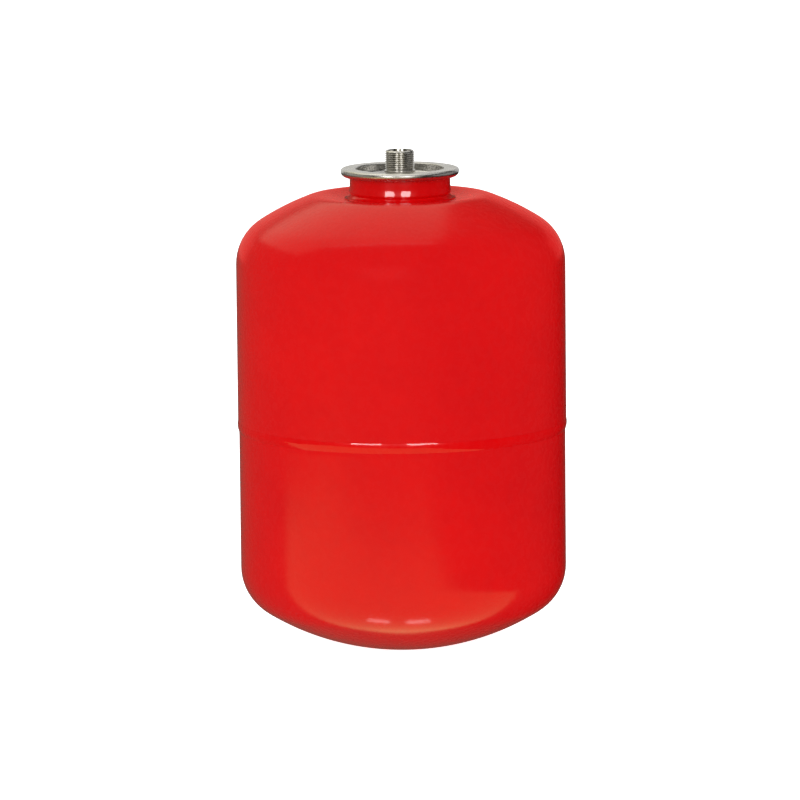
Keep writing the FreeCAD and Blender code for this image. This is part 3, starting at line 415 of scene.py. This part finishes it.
def make_valve_stem():
    """Brass stem: helical cap thread, chamfered hexagon, plain shank up through the boss."""
    path = [(STEM_BORE + 0.4, STEM_LOW), (STEM_ROOT_R, STEM_LOW + 0.05)]
    path += [(STEM_THREAD_R, STEM_LOW + 0.12 + k * STEM_THREAD_STEP) for k in range(STEM_THREAD_POINTS)]
    path += [(STEM_ROOT_R, STEM_THREAD_TOP), (STEM_ROOT_R, HEX_LOW)]
    path += [(7.0, HEX_LOW), (8.0, HEX_LOW + 0.5), (8.0, HEX_TOP - 0.02), (8.0, HEX_TOP), (STEM_R, HEX_TOP)]
    path += [(STEM_R, STEM_TOP - 0.4), (STEM_R - 0.4, STEM_TOP), (STEM_AIR_R, STEM_TOP),
             (STEM_AIR_R, STEM_BORE_TOP), (STEM_BORE, STEM_BORE_TOP - 0.5), (STEM_BORE, STEM_LOW + 0.4)]

    def bend(r, z, angle):
        if 6.9 < r < 8.1 and HEX_LOW <= z <= HEX_TOP:
            flat = HEX_FLATS / 2 / math.cos((angle + math.pi / 6) % (math.pi / 3) - math.pi / 6)
            return min(r, flat), z
        if abs(r - STEM_THREAD_R) < 1e-6:
            phase = ((z - STEM_LOW) / STEM_PITCH - angle / (2 * math.pi)) % 1.0
            share = min(1.0, max(0.0, (1.0 - abs(2 * phase - 1.0) - 0.15) / 0.7))
            fade = min(1.0, (z - STEM_LOW) / 0.5, max(0.0, (STEM_THREAD_TOP - z) / 0.8))
            return STEM_ROOT_R + (STEM_THREAD_R - STEM_ROOT_R) * share * fade, z
        return r, z
    return lathe("brass_stem", path, 120, bend, 30.0)


def make_cap():
    """Screw cap: grooved grip with a plain rim at its mouth, rounded closed end."""
    path = outline([(0, CAP_FLOOR), (0, CAP_LOW + 0.25), (2.6, CAP_LOW + 0.25), (2.9, CAP_LOW),
                    (CAP_R - CAP_EDGE, CAP_LOW), (CAP_R, CAP_LOW + CAP_EDGE, CAP_EDGE, LEFT),
                    (CAP_R, CAP_TOP - 0.25),
                    (CAP_R - 0.25, CAP_TOP, 0.25, LEFT), (CAP_BORE + 0.3, CAP_TOP), (CAP_BORE, CAP_TOP - 0.3),
                    (CAP_BORE, CAP_FLOOR)], 0.45)

    def bend(r, z, angle):
        if r < CAP_R - 0.3 or not CAP_LOW + 1.4 < z < CAP_TOP - 1.3:
            return r, z
        ends = min(1.0, (z - CAP_LOW - 1.4) / 0.7, (CAP_TOP - 1.3 - z) / 0.4)
        return r - CAP_GROOVE * ends * max(0.0, math.cos(angle * CAP_GROOVES)) ** 2, z
    return lathe("grip_cap", path, 240, bend, 50.0)


def make_spring():
    """The core's closing spring, a round wire wound on a helix."""
    steps, round_wire = 40 * SPRING_TURNS, 10
    height = SPRING_TOP - SPRING_LOW - 2 * SPRING_WIRE
    verts, faces = [], []
    for k in range(steps + 1):
        turn = k / steps * SPRING_TURNS
        angle = turn * 2 * math.pi
        z = SPRING_LOW + SPRING_WIRE + height * k / steps
        for q in range(round_wire):
            phi = 2 * math.pi * q / round_wire
            r = SPRING_R + SPRING_WIRE * math.cos(phi)
            verts.append((r * math.cos(angle), r * math.sin(angle), z + SPRING_WIRE * math.sin(phi)))
    for k in range(steps):
        for q in range(round_wire):
            a, b = k * round_wire + q, k * round_wire + (q + 1) % round_wire
            faces.append((a, b, b + round_wire, a + round_wire))
    faces.append(tuple(range(round_wire)))
    faces.append(tuple(steps * round_wire + q for q in range(round_wire)))
    return finish_mesh("closing_spring", verts, faces)


# ---------------------------------------------------------------- materials
ENAMEL_DEEP, ENAMEL_BRIGHT = (0.70, 0.0008, 0.0026), (0.78, 0.0014, 0.0022)
ENAMEL_IOR, COAT_IOR = 1.12, 1.3
SWELL_HEIGHT, PEEL_HEIGHT, NIB_HEIGHT = 0.0005, 0.00003, 0.00006  # metres of relief in the enamel


class Paint:
    """A node material: a Principled shader with helpers that add the nodes in front of it."""

    def __init__(self, name, colour, roughness, metallic=0.0):
        self.material = bpy.data.materials.new(name)
        self.material.use_nodes = True
        self.tree = self.material.node_tree
        self.shader = self.tree.nodes["Principled BSDF"]
        self.set(**{"Base Color": (*colour, 1.0), "Roughness": roughness, "Metallic": metallic})
        self.coords = self.tree.nodes.new("ShaderNodeTexCoord").outputs["Object"]
        self.bump = None

    def set(self, **values):
        for socket, value in values.items():
            self.shader.inputs[socket].default_value = value

    def node(self, kind, **inputs):
        """A node whose inputs are given as plain values or as the sockets to link."""
        made = self.tree.nodes.new("ShaderNode" + kind)
        for key, value in inputs.items():
            socket = made.inputs[int(key[1:])] if key[0] == "i" and key[1:].isdigit() else made.inputs[key]
            if hasattr(value, "is_output"):
                self.tree.links.new(value, socket)
            else:
                socket.default_value = value
        return made

    def math(self, operation, a, b=0.0):
        made = self.node("Math", i0=a, i1=b)
        made.operation = operation
        return made.outputs[0]

    def noise(self, scale, detail=2.0, roughness=0.5, stretch=(1, 1, 1)):
        """Noise with scale features to the metre, stretched along the axes."""
        mapped = self.node("Mapping", Vector=self.coords, Scale=stretch).outputs[0]
        made = self.node("TexNoise", Vector=mapped, Scale=scale, Detail=detail, Roughness=roughness)
        return made.outputs[0]

    def ramp(self, factor, low, high, from_low=0.0, from_high=1.0):
        """Maps a factor from one range to another, held inside it."""
        made = self.node("MapRange", Value=factor)
        made.inputs["From Min"].default_value = from_low
        made.inputs["From Max"].default_value = from_high
        made.inputs["To Min"].default_value = low
        made.inputs["To Max"].default_value = high
        return made.outputs[0]

    def mix(self, factor, a, b):
        """A mix of two colours, each a tuple or a socket."""
        made = self.tree.nodes.new("ShaderNodeMix")
        made.data_type = "RGBA"
        for index, value in ((0, factor), (6, a), (7, b)):
            if hasattr(value, "is_output"):
                self.tree.links.new(value, made.inputs[index])
            else:
                made.inputs[index].default_value = (*value, 1.0) if index else value
        return made.outputs[2]

    def link(self, socket, value):
        self.tree.links.new(value, self.shader.inputs[socket])

    def add_bump(self, height, distance, strength=1.0):
        """One more layer of bump, its height given in metres for a factor of 1."""
        made = self.node("Bump", Height=height)
        made.inputs["Strength"].default_value = strength
        made.inputs["Distance"].default_value = distance
        if self.bump:
            self.tree.links.new(self.bump, made.inputs["Normal"])
        self.bump = made.outputs[0]
        self.link("Normal", self.bump)

    def polar(self):
        """Sockets for the distance from the vessel's axis, the angle round it and the height."""
        split = self.node("SeparateXYZ", Vector=self.coords)
        x, y, z = split.outputs
        squares = self.math("ADD", self.math("MULTIPLY", x, x), self.math("MULTIPLY", y, y))
        return self.math("SQRT", squares), self.math("ARCTAN2", y, x), z

    def streaks(self, radial, round_about, upright, scale=1.0, detail=3.0):
        """Noise in radius, angle and height, so that scratches run round the axis or across it."""
        radius, angle, z = self.polar()
        joined = self.node("CombineXYZ", X=self.math("MULTIPLY", radius, radial),
                           Y=self.math("MULTIPLY", angle, round_about), Z=self.math("MULTIPLY", z, upright))
        return self.node("TexNoise", Vector=joined.outputs[0], Scale=scale, Detail=detail).outputs[0]


def red_enamel(name, seed, gloss=0.2, peel=1.0):
    """Stoved gloss enamel on drawn steel: deep red, long soft swells, orange peel and dust nibs."""
    paint = Paint(name, (0.72, 0.004, 0.008), 0.3)
    paint.set(**{"IOR": ENAMEL_IOR, "Coat Weight": 1.0, "Coat Roughness": gloss, "Coat IOR": COAT_IOR})
    slow = paint.noise(7.0 + seed, 3.0)
    fine = paint.noise(90.0, 4.0)
    shade = paint.math("ADD", paint.math("MULTIPLY", slow, 0.7), paint.math("MULTIPLY", fine, 0.3))
    paint.link("Base Color", paint.mix(paint.ramp(shade, 0.0, 1.0, 0.35, 0.65), ENAMEL_DEEP, ENAMEL_BRIGHT))
    paint.link("Roughness", paint.ramp(paint.noise(160.0, 3.0), 0.2, 0.34, 0.3, 0.7))
    paint.add_bump(paint.noise(9.0, 2.0, stretch=(1, 1, 2.5)), SWELL_HEIGHT)
    paint.add_bump(paint.noise(55.0, 2.0), PEEL_HEIGHT * peel)
    paint.add_bump(paint.noise(330.0, 2.0, 0.6), PEEL_HEIGHT * peel)
    nibs = paint.node("TexVoronoi", Vector=paint.coords, Scale=85.0).outputs["Distance"]
    paint.add_bump(paint.ramp(nibs, 1.0, 0.0, 0.0, 0.07), NIB_HEIGHT * peel)
    return paint.material


def stainless(name, colour, roughness, across, around):
    """Pressed stainless sheet: satin, with fine tool marks and faint cloudy staining."""
    paint = Paint(name, colour, roughness, 1.0)
    marks = paint.streaks(across, around, across, 1.0, 4.0)
    cloud = paint.noise(60.0, 4.0, 0.6)
    dull = tuple(c * 0.86 for c in colour)
    paint.link("Base Color", paint.mix(paint.ramp(cloud, 0.0, 1.0, 0.38, 0.68), colour, dull))
    both = paint.math("ADD", paint.math("MULTIPLY", marks, 0.6), paint.math("MULTIPLY", cloud, 0.4))
    paint.link("Roughness", paint.ramp(both, roughness * 0.7, roughness * 1.5, 0.3, 0.7))
    paint.add_bump(marks, 0.000004)
    paint.add_bump(paint.noise(120.0, 2.0), 0.00001)
    return paint.material


def thread_steel(name, colour, root_r, crest_r):
    """Turned and plated steel with painted shade darkening the thread's roots in patches, and fine rings from
    the tool.
    """
    paint = Paint(name, colour, 0.22, 1.0)
    radius, _, _ = paint.polar()
    depth = paint.ramp(radius, 0.0, 1.0, root_r * MM, crest_r * MM)
    # painted shade: the base colour darkens towards the thread's roots, down to 35 % at the most, more in
    # some patches than others; the same noise also varies the roughness
    grime_and_shade = paint.noise(420.0, 4.0, 0.65)
    root_shade = paint.math("SUBTRACT", 1.0, depth)
    root_shade = paint.math("MULTIPLY", root_shade, paint.ramp(grime_and_shade, 0.25, 0.6, 0.3, 0.6))
    paint.link("Base Color", paint.mix(root_shade, colour, tuple(c * 0.35 for c in colour)))
    paint.link("Roughness", paint.ramp(grime_and_shade, 0.12, 0.2, 0.3, 0.7))
    paint.add_bump(paint.streaks(6000.0, 3.0, 6000.0), 0.000001)
    return paint.material


def weld_metal(name):
    """Bare weld: grey ripples with straw and blue heat tint and a little soot."""
    paint = Paint(name, (0.42, 0.40, 0.38), 0.36, 1.0)
    tint = paint.noise(240.0, 3.0)
    paint.link("Base Color", paint.mix(paint.ramp(tint, 0.0, 1.0, 0.35, 0.65),
                                       (0.46, 0.40, 0.30), (0.24, 0.25, 0.29)))
    paint.link("Roughness", paint.ramp(paint.noise(700.0), 0.28, 0.5, 0.3, 0.7))
    paint.add_bump(paint.noise(900.0, 3.0), 0.00006)
    return paint.material


def brass(name):
    """Turned brass with fine tool rings and light tarnish."""
    paint = Paint(name, (0.72, 0.50, 0.20), 0.24, 1.0)
    tarnish = paint.noise(300.0, 4.0, 0.6)
    paint.link("Base Color", paint.mix(paint.ramp(tarnish, 0.0, 1.0, 0.42, 0.7),
                                       (0.74, 0.53, 0.23), (0.40, 0.26, 0.11)))
    paint.link("Roughness", paint.ramp(tarnish, 0.18, 0.42, 0.3, 0.7))
    paint.add_bump(paint.streaks(5000.0, 2.0, 5000.0), 0.00001)
    return paint.material


def rubber(name, colour, grain=0.00008, scale=500.0):
    """Moulded rubber: matt, finely grained, with a trace of mould bloom."""
    paint = Paint(name, colour, 0.62)
    bloom = paint.noise(35.0, 4.0, 0.6)
    pale = tuple(min(1.0, c * 1.5 + 0.015) for c in colour)
    paint.link("Base Color", paint.mix(paint.ramp(bloom, 0.0, 1.0, 0.45, 0.75), colour, pale))
    paint.link("Roughness", paint.ramp(bloom, 0.52, 0.78, 0.3, 0.7))
    paint.add_bump(paint.noise(scale, 3.0), grain)
    return paint.material


def plastic(name):
    """Moulded black plastic with a fine spark texture and handling shine."""
    paint = Paint(name, (0.022, 0.022, 0.024), 0.42)
    wear = paint.noise(220.0, 3.0)
    paint.link("Base Color", paint.mix(paint.ramp(wear, 0.0, 1.0, 0.45, 0.75),
                                       (0.020, 0.020, 0.022), (0.042, 0.042, 0.045)))
    paint.link("Roughness", paint.ramp(wear, 0.34, 0.52, 0.3, 0.7))
    paint.add_bump(paint.noise(2600.0, 2.0), 0.00002)
    return paint.material


# ---------------------------------------------------------------- the object
def place(piece, node, body, material):
    """The piece stands for a CAD node, rides on its body and takes a finish."""
    piece.data.materials.clear()
    piece.data.materials.append(material)
    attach(piece, body)
    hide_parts(node)
    return piece


def repaint(node, material):
    """A better material on a CAD node that stays."""
    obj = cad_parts[node]
    for entry in obj.material_slots:
        entry.material = material
    if not obj.material_slots:
        obj.data.materials.append(material)


enamel_up = red_enamel("enamel_upper", 0.0)
enamel_low = red_enamel("enamel_lower", 2.0)
enamel_neck = red_enamel("enamel_neck", 5.0, 0.02, 0.1)
enamel_seam = red_enamel("enamel_seam", 3.0, 0.03, 0.2)
flange_steel = stainless("flange_steel", (0.64, 0.625, 0.60), 0.26, 900.0, 14.0)
nipple_steel = thread_steel("nipple_steel", (0.70, 0.68, 0.64), THREAD_MINOR, THREAD_MAJOR)
bare_weld = weld_metal("bare_weld")
valve_brass = brass("valve_brass")
bag_rubber = rubber("bag_rubber", (0.028, 0.027, 0.026), 0.0002, 260.0)
black_rubber = rubber("black_rubber", (0.018, 0.018, 0.018))
red_seal = rubber("red_seal", (0.42, 0.02, 0.018), 0.00001, 3000.0)
cap_plastic = plastic("cap_plastic")
spring_steel = stainless("spring_steel", (0.6, 0.6, 0.59), 0.24, 6000.0, 8.0)

place(make_upper_half(), "upper_shell", "vessel", enamel_up)
place(make_lower_half(), "lower_shell", "vessel", enamel_low)
place(make_seam_bead(), "girth_weld", "vessel", enamel_seam)
place(make_neck(), "neck_collar", "vessel", enamel_neck)
place(make_neck_weld(), "neck_weld", "vessel", enamel_neck)
place(make_flange(), "connection_flange", "vessel", flange_steel)
place(make_nipple(), "nipple", "vessel", nipple_steel)
place(make_nipple_weld(), "nipple_weld", "vessel", bare_weld)
place(make_valve_stem(), "valve_stem", "vessel", valve_brass)
place(make_cap(), "valve_cap", "cap", cap_plastic)
bag_shoulder, bag = make_bag()
place(bag_shoulder, "membrane", "vessel", bag_rubber)
place(bag, "membrane", "vessel", bag_rubber)
bag_top, bag_low = (pick(v.co.z for v in bag.data.vertices) for pick in (max, min))
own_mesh(bag)
spring = place(make_spring(), "core_spring", "vessel", spring_steel)
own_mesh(spring)

for node, material in (
    ("valve_boss", enamel_low), ("boss_weld", bare_weld), ("stem_gasket", black_rubber),
    ("core_plug", valve_brass), ("core_barrel", valve_brass), ("core_barrel_seal", red_seal),
    ("core_pin", valve_brass), ("core_plunger_seal", black_rubber), ("core_plunger_cup", valve_brass),
    ("valve_cap_seal", black_rubber),
):
    repaint(node, material)


# ---------------------------------------------------------------- studio
WHITE, WARM, AMBER = (1.0, 1.0, 1.0), (1.0, 0.95, 0.72), (1.0, 0.9, 0.4)
RED = (1.0, 0.1, 0.09)


def stage_plate(name, corners, colour, glow=0.0, roughness=0.6):
    """A flat stage panel through four corners in metres."""
    mesh = bpy.data.meshes.new(name)
    mesh.from_pydata(corners, [], [(0, 1, 2, 3)])
    obj = bpy.data.objects.new(name, mesh)
    bpy.context.scene.collection.objects.link(obj)
    paint = Paint(name + "_paint", colour, roughness)
    if glow:
        paint.set(**{"Emission Color": (*WHITE, 1.0), "Emission Strength": glow})
    mesh.materials.append(paint.material)
    return obj


def aim(obj, position, target, roll=0.0):
    """Points an object's -Z at a target, its Y up."""
    ahead = (Vector(target) - Vector(position)).normalized()
    side = ahead.cross(Vector((0, 0, 1))).normalized()
    up = side.cross(ahead)
    turn = Matrix((side, up, -ahead)).transposed().to_4x4()
    obj.matrix_world = Matrix.Translation(position) @ turn @ Matrix.Rotation(roll, 4, "Z")


def softbox(name, position, target, width, height, radiance,
            diffuse=True, glossy=True, pieces=(), tint=WHITE):
    """A rectangular light of a given radiance, aimed at a point. If pieces are named, it lights only them."""
    light = bpy.data.lights.new(name, "AREA")
    light.shape = "RECTANGLE"
    light.size, light.size_y = width, height
    light.energy = radiance * math.pi * width * height
    light.color = tint
    obj = bpy.data.objects.new(name, light)
    bpy.context.scene.collection.objects.link(obj)
    aim(obj, position, target)
    obj.visible_camera = False
    obj.visible_diffuse, obj.visible_glossy = diffuse, glossy
    if pieces:
        group = bpy.data.collections.new(name + "_receivers")
        for piece in pieces:
            group.objects.link(bpy.data.objects[piece])
        obj.light_linking.receiver_collection = group
    return obj


def make_world():
    """A white studio, bright and even for soft light and the backdrop. Mirrored, it is dim and warmer."""
    world = bpy.data.worlds.new("studio")
    world.use_nodes = True
    nodes, links = world.node_tree.nodes, world.node_tree.links
    sky = nodes["Background"]
    sky.inputs["Color"].default_value = (1.0, 1.0, 1.0, 1.0)
    ray = nodes.new("ShaderNodeLightPath")
    across = nodes.new("ShaderNodeSeparateXYZ")
    links.new(nodes.new("ShaderNodeTexCoord").outputs["Generated"], across.inputs[0])
    mirrored = nodes.new("ShaderNodeMapRange")
    links.new(across.outputs["X"], mirrored.inputs["Value"])
    level = nodes.new("ShaderNodeMix")
    links.new(ray.outputs["Is Glossy Ray"], level.inputs["Factor"])
    for socket, value in (("From Min", MIRRORED_START), ("From Max", MIRRORED_END),
                          ("To Min", MIRRORED_LEFT), ("To Max", MIRRORED_RIGHT)):
        mirrored.inputs[socket].default_value = value
    level.inputs["A"].default_value = AMBIENT
    links.new(mirrored.outputs[0], level.inputs["B"])
    links.new(level.outputs[0], sky.inputs["Strength"])
    tint = nodes.new("ShaderNodeMix")
    tint.data_type = "RGBA"
    links.new(ray.outputs["Is Glossy Ray"], tint.inputs[0])
    tint.inputs[6].default_value, tint.inputs[7].default_value = (*WHITE, 1.0), (*WARM, 1.0)
    links.new(tint.outputs[2], sky.inputs["Color"])
    world.cycles.sampling_method = "NONE"
    return world


AIM_OFF = 0.001  # aim() needs a direction a hair off the upright


def flat_card(name, position, faced_height, width, depth, radiance, **settings):
    """A level card that is seen only in reflections, facing up or down to a height."""
    x, y, _ = position
    return softbox(name, position, (x, y + AIM_OFF, faced_height), width, depth, radiance,
                   diffuse=False, **settings)


AMBIENT, MIRRORED_LEFT, MIRRORED_RIGHT = 0.92, 0.1, 0.002
MIRRORED_START, MIRRORED_END = -0.1, 0.5  # from left to right, where the mirrored studio darkens
FLOOR_FRONT, FLOOR_BACK, FLOOR_SIDE = -6.0, 9.0, 6.0
FLOOR_COLOUR, FLOOR_GLOW = (0.8, 0.8, 0.8), 1.0
floor = stage_plate("floor", [(-FLOOR_SIDE, FLOOR_FRONT, 0), (FLOOR_SIDE, FLOOR_FRONT, 0),
                              (FLOOR_SIDE, FLOOR_BACK, 0), (-FLOOR_SIDE, FLOOR_BACK, 0)],
                    FLOOR_COLOUR, FLOOR_GLOW)
floor.visible_glossy = floor.visible_diffuse = False

CEILING, PLATE_HEIGHT = 2.0, 0.43
STRIP_REACH, STRIP_HEIGHT = 2.3, 1.1
SPOT_Y, SPOT_HEIGHT = -0.139, 0.004
middle = (0, 0, 0.22)
plate_middle = (0, 0, PLATE_HEIGHT)
painted = ["neck_sleeve", "neck_fillet", "seam_bead"]
metals = ["flange_plate", "water_nipple", "nipple_bead"]

softbox("fill_front", (-0.6, -3.0, 1.2), middle, width=1.8, height=1.4, radiance=1.3, glossy=False)
for azimuth, tag in ((-24.0, "left"), (13.0, "right")):
    angle = math.radians(azimuth)
    position = (STRIP_REACH * math.sin(angle), -STRIP_REACH * math.cos(angle), STRIP_HEIGHT)
    softbox("strip_" + tag, position, middle, width=0.9, height=1.4, radiance=26.0,
            diffuse=False, pieces=painted)
    softbox("strip_metal_" + tag, position, middle, width=0.7, height=1.4, radiance=4.0,
            diffuse=False, pieces=metals)

# mirrored by the bare steel alone
softbox("metal_back", (0, 3.0, 1.0), plate_middle, width=5.0, height=2.2, radiance=0.62,
        diffuse=False, pieces=metals)
flat_card("metal_top", (0, -0.2, 2.4), 0.0, width=4.0, depth=3.6, radiance=0.7, pieces=metals)
softbox("metal_front", (0, -3.2, 0.6), plate_middle, width=5.0, height=2.6, radiance=0.4,
        diffuse=False, pieces=metals, tint=WARM)
for side, tag in ((-1, "left"), (1, "right")):
    softbox("metal_side_" + tag, (3.0 * side, 0.4, 0.6), middle, width=4.0, height=2.0, radiance=0.3,
            diffuse=False, pieces=metals)

# a ceiling panel with its bright edge and a warm table with two lamps, mirrored by every piece,
# and a red wall behind, mirrored by the upper half alone
flat_card("overhead", (-1.1, 1.5, CEILING), 0.0, width=3.0, depth=3.3, radiance=0.6, tint=WARM)
softbox("seat_back", (0, 4.0, 0.95), (0, 0, 0.4), width=7.0, height=1.6, radiance=0.8,
        diffuse=False, pieces=["upper_half"], tint=RED)
flat_card("overhead_edge", (-0.25, -0.17, CEILING), 0.0, width=1.4, depth=0.04, radiance=3.0)
flat_card("table_near", (-0.35, -0.4, 0.002), 1.0, width=1.2, depth=0.6, radiance=0.75, tint=AMBER)
flat_card("table_far", (-0.35, -0.55, 0.001), 1.0, width=1.2, depth=0.9, radiance=0.55, tint=AMBER)
for x, tag in ((-0.03, "left"), (0.016, "right")):
    flat_card("table_spot_" + tag, (x, SPOT_Y, SPOT_HEIGHT), 1.0, width=0.026, depth=0.01, radiance=5.0)

scene = bpy.context.scene
scene.world = make_world()
scene.view_settings.view_transform = "Standard"

ELEVATION, DISTANCE, FRAME_WIDTH = math.radians(8.6), 6.0, 0.7168
AIM_HEIGHT, AIM_SIDE, ROLL = 0.2187, -0.0018, math.radians(-0.55)
SENSOR_WIDTH, FAR_CLIP = 36.0, 100.0
camera = bpy.data.cameras.new("camera")
camera.sensor_width = SENSOR_WIDTH
camera.lens = SENSOR_WIDTH * DISTANCE / FRAME_WIDTH
camera.clip_end = FAR_CLIP
camera_object = bpy.data.objects.new("camera", camera)
scene.collection.objects.link(camera_object)
target = (AIM_SIDE, 0, AIM_HEIGHT)
position = (AIM_SIDE, -DISTANCE * math.cos(ELEVATION), AIM_HEIGHT + DISTANCE * math.sin(ELEVATION))
aim(camera_object, position, target, ROLL)
scene.camera = camera_object
